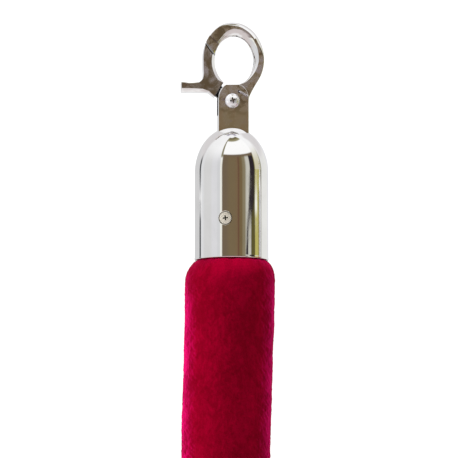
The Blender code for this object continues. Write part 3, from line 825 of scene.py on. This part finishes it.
def cap_profile():
    """The cap's closed section as (radius, z): out over the dome, down, and back up inside."""
    dome = []
    for i in range(41):
        a = radians(90.0 * i / 40)
        dome.append((CAP_R * sin(a), DOME_BASE + DOME_HIGH * cos(a)))
    wall = [(CAP_R, DOME_BASE - 4.0 * k) for k in range(1, 9)]
    # a small bead stands proud of the wall at the rim
    bead, proud = 0.6, 0.1
    rim = [(CAP_R, CAP_RIM + 1.3), (CAP_R + proud, CAP_RIM + 0.95)]
    for i in range(9):
        a = radians(180.0 * i / 8)
        rim.append((CAP_R - 0.5 + bead * cos(a), CAP_RIM + bead - bead * sin(a)))
    inner_r, inner_high = CAP_R - CAP_WALL, DOME_HIGH - CAP_WALL
    inside = [(inner_r, CAP_RIM + 1.2)]
    for i in range(13):
        a = radians(90.0 - 90.0 * i / 12)
        inside.append((inner_r * sin(a), DOME_BASE + inner_high * cos(a)))
    return dome + wall + rim + inside


def true_cap_normals(mesh):
    """Gives the outer skin the normals of the true dome and cylinder, so cuts leave no mark."""
    normals = [(0.0, 0.0, 0.0)] * len(mesh.loops)
    points = [v.co.copy() for v in mesh.vertices]
    for poly in mesh.polygons:
        for k in poly.loop_indices:
            p = points[mesh.loops[k].vertex_index]
            r, up = hypot(p.x, p.y), p.z - DOME_BASE
            if p.z >= DOME_BASE:
                on_skin = abs(hypot(r / CAP_R, up / DOME_HIGH) - 1) < 0.012
                normal = Vector((p.x / CAP_R**2, p.y / CAP_R**2, up / DOME_HIGH**2))
            else:
                on_skin = abs(r - CAP_R) < 0.06 and p.z > CAP_RIM + 1.0
                normal = Vector((p.x, p.y, 0))
            if on_skin:
                normal.normalize()
                if normal.dot(poly.normal) > 0.93:
                    normals[k] = tuple(normal)
    mesh.normals_split_custom_set(normals)


def cap_mesh():
    cap = temp(turned(cap_profile(), 192))
    slot = temp(block(
        (NECK_LEFT - SLOT_GAP, -NECK_THICK / 2 - SLOT_GAP, -50.0),
        (NECK_RIGHT + SLOT_GAP, NECK_THICK / 2 + SLOT_GAP, -30.0),
    ))
    bevel(slot, width=0.7, segments=3, angle=50.0)
    cap = combine(cap, solid(slot))
    cap = combine(cap, turned(DIMPLE, 64, CAP_SCREW_AXIS))
    mesh = solid(cap)
    mesh.shade_smooth()
    mesh.set_sharp_from_angle(angle=radians(30))
    true_cap_normals(mesh)
    mesh.materials.append(CHROME_CAP)
    return mesh


def cap_screw_mesh():
    """A nearly flat head, sunk in the cap's dimple."""
    head = [(2.5 * i / 8, 15.42 - 0.12 * (i / 8) ** 2) for i in range(9)]
    obj = temp(turned(head + CAP_SCREW_BODY, 48, CAP_SCREW_AXIS))
    return solid(cross_recess(
        obj, half_length=1.45, half_width=0.32, low=14.4, place=CAP_SCREW_AXIS, turn=5.0, taper=0.45
    ))


# ---------------------------------------------------------------- the rope's line and its velvet
# random relief of the pile: height, seed, waves, most waves round, longest, shortest in mm
LUMPS = [
    (0.15, 3, 22, 3, 95.0, 34.0),  # soft lumps of the filling
    (0.05, 5, 34, 7, 30.0, 11.0),  # the slack of the sleeve
    (0.035, 7, 60, 22, 9.0, 4.0),  # the lie of the pile
]
FINE_PILE = (9, 70, 60, 4.0, 1.6)
GATHERS = (13, 16, 26, 60.0, 30.0)


def heading_vector(h):
    return np.array((sin(h), 0.0, -cos(h)))


def rope_line():
    """Dense points and headings along the rope, where the velvet is divided, and its hinges."""
    half = (TOTAL_LENGTH + 2 * CAP_RIM) / 2
    lengths = [LEAN_FROM, MID_HINGE - LEAN_FROM, half - 4 * BEND_STEP - MID_HINGE]
    lengths += [BEND_STEP] * 4
    lengths += lengths[::-1]
    corners, heads, h = [np.array((0.0, 0.0, CAP_RIM))], [], 0.0
    for length, turn in zip(lengths, TURNS + [0.0]):
        heads.append(radians(h))
        corners.append(corners[-1] + heading_vector(heads[-1]) * length)
        h += turn
    tuck = np.array((0, 0, TUCK))
    points, turns = [corners[0] + tuck], [0.0]
    last = len(corners) - 2
    for i in range(1, last + 1):
        # each corner is rounded off by a quadratic curve
        reach = 12.0 if i in (1, last) else BEND_STEP / 2
        a = corners[i] - heading_vector(heads[i - 1]) * reach
        b = corners[i] + heading_vector(heads[i]) * reach
        for k in range(61):
            t = k / 60
            points.append((1 - t) ** 2 * a + 2 * t * (1 - t) * corners[i] + t**2 * b)
            tangent = (1 - t) * (corners[i] - a) + t * (b - corners[i])
            turns.append(atan2(tangent[0], -tangent[2]))
    points.append(corners[-1] + tuck)
    turns.append(heads[-1])
    # headings run on past half a turn, so keep them increasing
    points, turns = np.array(points), np.unwrap(np.array(turns))
    steps = np.linalg.norm(np.diff(points, axis=0), axis=1)
    along = np.concatenate([[0.0], np.cumsum(steps)])
    hinges = corners[2:last]
    hinge_heads = list(zip(heads[1:], heads[2:last]))
    edges = [hinges[0] - heading_vector(hinge_heads[0][0]) * (BEND_STEP / 2)]
    edges += [(a + b) / 2 for a, b in zip(hinges, hinges[1:])]
    edges.append(hinges[-1] + heading_vector(hinge_heads[-1][1]) * (BEND_STEP / 2))
    keep = np.concatenate([[True], np.diff(along) > 1e-9])
    along, points, turns = along[keep], points[keep], turns[keep]
    fine = np.linspace(0, along[-1], 60000)
    fine_x, fine_z = (np.interp(fine, along, points[:, axis]) for axis in (0, 2))
    marks = [fine[np.argmin((fine_x - e[0]) ** 2 + (fine_z - e[2]) ** 2)] for e in edges]
    return along, points, turns, marks, hinges, hinge_heads


def relief(phi, s, seed, count, around, longest, shortest):
    """Random waves that close round the sleeve: whole numbers round, any length along."""
    rng = np.random.default_rng(seed)
    total = np.zeros(np.broadcast(phi, s).shape)
    heights = []
    for _ in range(count):
        m = int(rng.integers(-around, around + 1))
        w = 2 * pi / rng.uniform(shortest, longest) * rng.choice((-1, 1))
        phase = rng.uniform(0, 2 * pi)
        height = rng.uniform(0.5, 1.0)
        heights.append(height)
        total += height * np.cos(m * phi + w * s + phase)
    return total / np.sqrt(sum(height**2 for height in heights) / 2)


def shoulder(below):
    """Radius of the sleeve at a distance below the nearer cap's rim."""
    swell = 1 - (1 - np.clip(below / 10.0, 0, 1)) ** 2.7
    settle = np.clip((below - 14.0) / 26.0, 0, 1)
    settle = settle * settle * (3 - 2 * settle)
    r = MOUTH_R + (SHOULDER_R - MOUTH_R) * swell - (SHOULDER_R - ROPE_R) * settle
    tucked = TUCKED_R + (MOUTH_R - TUCKED_R) * np.clip((below + 0.5) / 0.8, 0, 1)
    return np.where(below < 0.3, tucked, r)


def sleeve_rows(cuts):
    """Stations along the sleeve, and the index of the station at each cut."""
    total = cuts[-1]
    rows, ends = [0.0], [0]
    for a, b in zip(cuts, cuts[1:]):
        s = a
        while s < b - 1e-6:
            near = min(s, total - s)
            step = 0.45 if near < 20 else (0.8 if s < 125 else 1.25)
            following = s + step
            s = b if following > b - step * 0.5 else following
            rows.append(s)
        ends.append(len(rows) - 1)
    return np.array(rows), ends


def sleeve_radius(S, P, total, bend):
    """The sleeve's radius at stations S (a column) and angles P (a row)."""
    below = np.minimum(S, total - S) - TUCK
    radius = shoulder(below)
    free = np.clip((below - 0.5) / 9.0, 0, 1)
    for height, *waves in LUMPS:
        radius = radius + free * height * relief(P, S, *waves)
    radius = radius + (0.25 + 0.75 * free) * 0.035 * relief(P, S, *FINE_PILE)
    fuzz = np.random.default_rng(11).normal(0, 1, radius.shape)
    radius = radius + (0.3 + 0.7 * free) * 0.055 * np.clip(fuzz, -2, 2)
    # gathers where the cap's rim grips the sleeve
    grip = np.clip(1 - (below - 0.3) / 9.0, 0, 1) * (below > 0.2)
    radius = radius + 0.10 * grip * relief(P, S * 0.35, *GATHERS)
    # the inside of the bend wrinkles a little
    bend = np.convolve(np.pad(bend, 12, mode="edge"), np.ones(25) / 25, "valid")[:, None]
    inner = np.clip(np.cos(P), 0, 1) ** 1.5
    wrinkle = np.cos(2 * pi * S / 8.6 + 1.2 * np.sin(2 * P) + 0.9 * np.sin(S / 13.0))
    wrinkle = wrinkle * (0.6 + 0.4 * np.sin(S / 7.3 + 1.0))
    radius = radius + 0.34 * np.clip(bend / 0.0128, 0, 1) * inner * wrinkle
    # the stitched seam runs down the back
    seam_at = pi / 2 + 0.03 * np.sin(S / 37.0)
    off = (P - seam_at) * ROPE_R
    seam = -0.42 * np.exp(-((off / 0.55) ** 2))
    seam = seam + 0.13 * np.exp(-(((np.abs(off) - 1.5) / 0.8) ** 2))
    stitch = -0.12 * np.exp(-(((np.abs(off) - 0.9) / 0.4) ** 2))
    stitch = stitch * (np.cos(2 * pi * S / 3.2) > 0.2)
    return radius + free * (seam + stitch)


def velvet_mesh(co, normal, cloth):
    """One length of the sleeve, from grids of points, normals and cloth places."""
    count, around = co.shape[:2]
    i = np.arange(count - 1)[:, None] * around
    j = np.arange(around)[None, :]
    jn = (j + 1) % around
    quads = np.stack([i + j, i + around + j, i + around + jn, i + jn], axis=-1).reshape(-1, 4)
    mesh = bpy.data.meshes.new("velvet")
    mesh.from_pydata((co.reshape(-1, 3) * MM).tolist(), [], quads.tolist())
    mesh.materials.append(VELVET)
    mesh.shade_smooth()
    attribute = mesh.attributes.new("cloth", "FLOAT_VECTOR", "POINT")
    attribute.data.foreach_set("vector", cloth.astype(np.float32).ravel())
    mesh.normals_split_custom_set_from_vertices(normal.reshape(-1, 3).tolist())
    return mesh


def build_velvet():
    """Builds the sleeve in lengths and returns the X of end B."""
    along, points, turns, marks, hinges, hinge_heads = rope_line()
    total = along[-1]
    rows, ends = sleeve_rows([0.0] + marks + [total])
    centre_x, centre_z = (np.interp(rows, along, points[:, axis]) for axis in (0, 2))
    head = np.interp(rows, along, turns)[:, None]
    # end A's sleeve sits a little off its cap's middle, as it was pulled in
    sag = np.clip((rows - TUCK) / 11.0, 0, 1) * (1 - np.clip((rows - 130.0) / 160.0, 0, 1))
    centre_x = centre_x - 0.82 * sag * sag * (3 - 2 * sag)
    S = rows[:, None]
    P = np.linspace(0, 2 * pi, 184, endpoint=False)[None, :]
    bend = np.interp(rows, along, np.abs(np.gradient(turns, along)))
    radius = sleeve_radius(S, P, total, bend)
    co = np.stack(
        [
            centre_x[:, None] + radius * np.cos(P) * np.cos(head),
            radius * np.sin(P),
            centre_z[:, None] + radius * np.cos(P) * np.sin(head),
        ],
        axis=-1,
    )
    du = np.roll(co, -1, axis=1) - np.roll(co, 1, axis=1)
    normal = np.cross(np.gradient(co, axis=0), du)
    normal /= np.linalg.norm(normal, axis=-1, keepdims=True) + 1e-12
    cloth = np.broadcast_arrays(ROPE_R * np.cos(P), ROPE_R * np.sin(P), S)
    cloth = np.stack(cloth, axis=-1)

    # each length but the first and last bends over one hinge, between two bodies
    for k, (first, last) in enumerate(zip(ends, ends[1:])):
        part = slice(first, last + 1)
        mesh = velvet_mesh(co[part], normal[part], cloth[part])
        obj = link("velvet_%02d" % (k + 1), mesh)
        if k == 0:
            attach(obj, "leg_a")
            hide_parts("sleeve_01")
        elif k == len(ends) - 2:
            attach(obj, "leg_b")
            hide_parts("sleeve_12")
        else:
            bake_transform(obj)
            if k >= 2:
                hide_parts("sleeve_%02d" % k)
    # end B mirrors end A in the middle hinge
    return 2 * hinges[len(hinges) // 2][0]


# ---------------------------------------------------------------- placing the pieces
def build_end(tag, place):
    """All the metal pieces of one end, from millimetres about the origin."""

    def put(mesh, part, mat, body="leg_", angle=32.0, weighted=True):
        """Without a material the mesh keeps its own; without an angle, its own normals too."""
        node = part + "_" + tag
        # every "_b" drops out of end B's names, so its hook is called hookody_fine_b
        name = node.replace("_" + tag, "") + "_fine_" + tag
        mesh.transform(place @ Matrix.Scale(MM, 4))
        if mat:
            mesh.materials.clear()
            mesh.materials.append(mat)
        obj = link(name, mesh)
        if angle is not None:
            mesh.name = name
            mesh.shade_smooth()
            mesh.set_sharp_from_angle(angle=radians(angle))
        if weighted:
            mod = obj.modifiers.new("normals", "WEIGHTED_NORMAL")
            mod.weight = 60
            mod.keep_sharp = True
        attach(obj, body + tag)
        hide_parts(node)

    put(hook_mesh(), "hook_body", CHROME, angle=20.0)
    put(gate_mesh(), "hook_gate", None, body="gate_", angle=20.0)
    put(spring_mesh(), "gate_spring", SPRING, angle=60.0, weighted=False)
    put(pivot_screw_mesh(), "pivot_screw", SCREW, weighted=False)
    put(pivot_nut_mesh(), "pivot_nut", CHROME)
    put(cap_mesh(), "end_cap", None, angle=None, weighted=False)
    put(cap_screw_mesh(), "cap_screw", NICKEL, weighted=False)


far_x = build_velvet()
build_end("a", Matrix.Identity(4))
build_end("b", Matrix.Translation((far_x * MM, 0, 0)) @ Matrix.Rotation(pi, 4, "Z"))

# the pieces of the frame that stay, by the start of their names
KEPT = {"core_": COTTON, "end_plug": BEECH, "tail_washer": ZINC, "tail_nut": ZINC}
for name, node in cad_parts.items():
    for prefix, mat in KEPT.items():
        if name.startswith(prefix):
            node.data.materials.clear()
            node.data.materials.append(mat)


# ---------------------------------------------------------------- floor, light, camera
def floor_material():
    """Pale and matt, lifted towards white for the camera, and clear far out."""
    mat, n, shader = new_material("pale_floor", (0.9, 0.9, 0.9, 1.0))
    n.fill(shader, Base_Color=(0.86, 0.86, 0.855, 1.0), Roughness=0.8, Specular_IOR_Level=0.1)
    place = n.add("ShaderNodeTexCoord").outputs["Object"]
    far = n.vector("LENGTH", place).outputs["Value"]
    glow = n.add("ShaderNodeEmission", Color=(1.0, 1.0, 1.0, 1.0), Strength=1.0)
    camera_ray = n.add("ShaderNodeLightPath").outputs["Is Camera Ray"]
    lit = n.mix_shader(n.times(camera_ray, share=0.55), shader, glow)
    clear = n.add("ShaderNodeBsdfTransparent")
    faded = n.mix_shader(n.spread(far, between=(0.4, 2.0)), lit, clear)
    n.link(faded.outputs[0], mat.node_tree.nodes["Material Output"].inputs[0])
    tone = n.noise(place, scale=9.0, detail=3.0)
    n.fill(shader, Base_Color=n.mix(tone, (0.84, 0.84, 0.835, 1.0), (0.88, 0.88, 0.875, 1.0)))
    return mat


def build_floor():
    bm = bmesh.new()
    bmesh.ops.create_grid(bm, x_segments=1, y_segments=1, size=6.0)
    mesh = to_mesh(bm, "floor", recalc=False)
    floor = link("floor", mesh)
    floor.location = (0.08, 0, -(TOTAL_LENGTH + 45.0) * MM)  # clear of the rope let down straight
    mesh.materials.append(floor_material())
    floor.visible_glossy = False


# what the chrome sees at each side: where it starts in degrees, sRGB colour, softness
SIDE_ZONES = [
    (-120, (66, 68, 71), 2.0),
    (-112, (222, 223, 225), 1.5),
    (-98, (213, 213, 213), 6.0),
    (-66, (218, 218, 221), 4.0),
    (-46, (211, 212, 214), 3.0),
    (-36, (240, 240, 232), 1.5),
    (-30, (112, 97, 78), 2.0),
    (-12, (118, 102, 76), 8.0),
    (12, (120, 100, 74), 5.0),
    (19.5, (106, 76, 60), 2.5),
    (24, (116, 98, 68), 3.0),
    (34, (134, 124, 98), 3.0),
    (45, (198, 196, 186), 4.0),
    (64, (92, 86, 48), 2.0),
    (79, (184, 176, 98), 2.0),
    (98, (104, 100, 62), 2.0),
    (107, (230, 230, 227), 2.0),
    (150, (226, 226, 230), 10.0),
]
# the same upwards, over the front
CEILING_ZONES = [
    (36, (253, 253, 253), 1.6),
    (70, (150, 143, 112), 2.0),
    (76, (112, 104, 76), 3.0),
    (83, (250, 250, 250), 2.0),
]


def studio_world():
    """A white room for the camera, and in the chrome the panels and dark flags of a studio."""
    world = bpy.data.worlds.new("studio")
    world.use_nodes = True
    bpy.context.scene.world = world
    tree = world.node_tree
    tree.nodes.clear()
    n = Nodes(tree)
    # turn is degrees to the right of the camera's side, high is degrees up
    x, y, z = n.axes(n.add("ShaderNodeTexCoord").outputs["Generated"])
    turn = n.math("ARCTAN2", x, n.times(y, -1.0))
    turn = n.affine(turn, times=180.0 / pi, plus=-VIEW_AZ)
    high = n.times(n.math("ARCSINE", z), 180.0 / pi)

    def edge(value, at, soft):
        """0 below the edge and 1 above it."""
        if isinstance(at, bpy.types.NodeSocket):
            value, at = n.math("SUBTRACT", value, at), 0.0
        return n.spread(value, between=(at - soft, at + soft))

    def zones(value, stops, base):
        colour = base
        for at, shade, soft in stops:
            colour = n.mix(edge(value, at, soft), colour, linear(*shade))
        return colour

    def band(value, low, high, soft):
        above = n.math("SUBTRACT", 1.0, edge(value, high, soft))
        return n.times(edge(value, low, soft), above)

    side = zones(turn, SIDE_ZONES, linear(208, 208, 209))
    front_low = n.times(band(turn, -29.0, 42.0, soft=3.0), n.spread(high, between=(3.5, -1.0)))
    side = n.mix(front_low, side, linear(108, 90, 92))
    # a tall dark flag stands askew on the right, with a pale gap beside it
    rise = n.affine(high, times=1 / 1.3, plus=-5.5 / 1.3, clamp=True)
    beige = n.times(n.spread(high, between=(6.8, 8.0)), band(turn, 79.0, 104.0, soft=3.0))
    side = n.mix(beige, side, linear(208, 203, 176))
    flag_left = n.affine(rise, times=15.0, plus=44.0)
    flag_right = n.affine(n.spread(rise, between=(0.3, 0.8)), times=22.0, plus=53.5)
    side = n.mix(band(turn, flag_left, flag_right, soft=1.6), side, linear(46, 39, 44))
    # a bright patch on the right and one on the left
    for low, top, shade in ((78.0, 88.0, (246, 246, 238)), (-121.0, -106.0, (240, 240, 241))):
        patch = n.times(band(rise, 0.58, 0.86, soft=0.1), band(turn, low, top, soft=2.0))
        side = n.mix(patch, side, linear(*shade))
    # the pale ceiling, and the bright panel before it with its frame
    pale = n.mix(n.spread(high, between=(14, 50)), side, linear(246, 246, 247))
    ceiling = zones(high, CEILING_ZONES, linear(112, 96, 76))
    ceiling = n.mix(edge(high, 31.0, soft=2.5), side, ceiling)
    colour = n.mix(band(turn, -30.0, 80.0, soft=1.5), pale, ceiling)
    frame_left = n.times(band(turn, -37.0, -30.0, soft=1.5), band(high, 30.0, 84.0, soft=3.0))
    colour = n.mix(frame_left, colour, linear(138, 132, 108))
    behind = n.math("SUBTRACT", 1.0, band(turn, -110.0, 110.0, soft=8.0))
    arch = n.times(behind, band(high, 78.0, 84.0, soft=1.5))
    colour = n.mix(arch, colour, linear(176, 170, 186))
    wall = n.times(behind, band(high, 22.0, 64.0, soft=6.0))
    colour = n.mix(wall, colour, linear(216, 213, 214))
    # straight behind the piece is the white backdrop again
    straight = edge(n.math("ABSOLUTE", turn), 165.0, soft=3.0)
    backdrop = n.times(straight, band(high, -30.0, 40.0, soft=6.0))
    colour = n.mix(backdrop, colour, linear(226, 226, 227))
    # the ground, paler straight below
    colour = n.mix(n.spread(high, between=(-12, -38)), colour, linear(208, 199, 198))
    colour = n.mix(n.spread(high, between=(-48, -66)), colour, linear(240, 238, 238))
    path = n.add("ShaderNodeLightPath").outputs
    glossy = n.math("MAXIMUM", path["Is Glossy Ray"], path["Is Transmission Ray"])
    ambient = n.add("ShaderNodeBackground", Color=(1.0, 0.99, 0.985, 1.0), Strength=0.56)
    mirror = n.add("ShaderNodeBackground", Color=colour, Strength=1.03)
    seen = n.add("ShaderNodeBackground", Color=(1.0, 1.0, 1.0, 1.0), Strength=1.15)
    first = n.mix_shader(glossy, ambient, mirror)
    second = n.mix_shader(path["Is Camera Ray"], first, seen)
    out = tree.nodes.new("ShaderNodeOutputWorld")
    n.link(second.outputs[0], out.inputs[0])


LIGHT_AIM = (0, 0, -0.2)
# name, place, width and height in metres, watts, colour
PANELS = [
    ("left_panel", (-1.65, -0.25, -0.45), (0.7, 1.4), 36.0, (1.0, 0.97, 1.0)),
    ("right_panel", (1.5, 0.1, 0.0), (0.5, 1.3), 9.0, (0.97, 0.98, 1.0)),
    ("overhead_panel", (0.1, -0.3, 1.4), (1.2, 1.0), 28.0, (1, 1, 1)),
]


def build_lights():
    for name, place, size, power, colour in PANELS:
        data = bpy.data.lights.new(name, "AREA")
        data.shape = "RECTANGLE"
        data.size, data.size_y = size
        data.energy = power
        data.color = colour
        aim = Vector(LIGHT_AIM) - Vector(place)
        obj = link(name, data)
        obj.location = place
        obj.rotation_euler = aim.to_track_quat("-Z", "Y").to_euler()
        obj.visible_glossy = False


def build_camera():
    turn, rise = radians(VIEW_AZ), radians(VIEW_EL)
    back = Vector((sin(turn) * cos(rise), -cos(turn) * cos(rise), sin(rise)))
    lens = bpy.data.cameras.new("camera")
    lens.sensor_width = SENSOR_WIDTH
    lens.lens = FOCAL_LENGTH
    lens.clip_start, lens.clip_end = 0.05, 40.0
    camera = link("camera", lens)
    camera.location = Vector(VIEW_TARGET) + back * VIEW_DISTANCE
    camera.rotation_mode = "QUATERNION"
    camera.rotation_quaternion = (-back).to_track_quat("-Z", "Y")
    bpy.context.scene.camera = camera
    bpy.context.scene.view_settings.view_transform = "Standard"


build_floor()
studio_world()
build_lights()
build_camera()
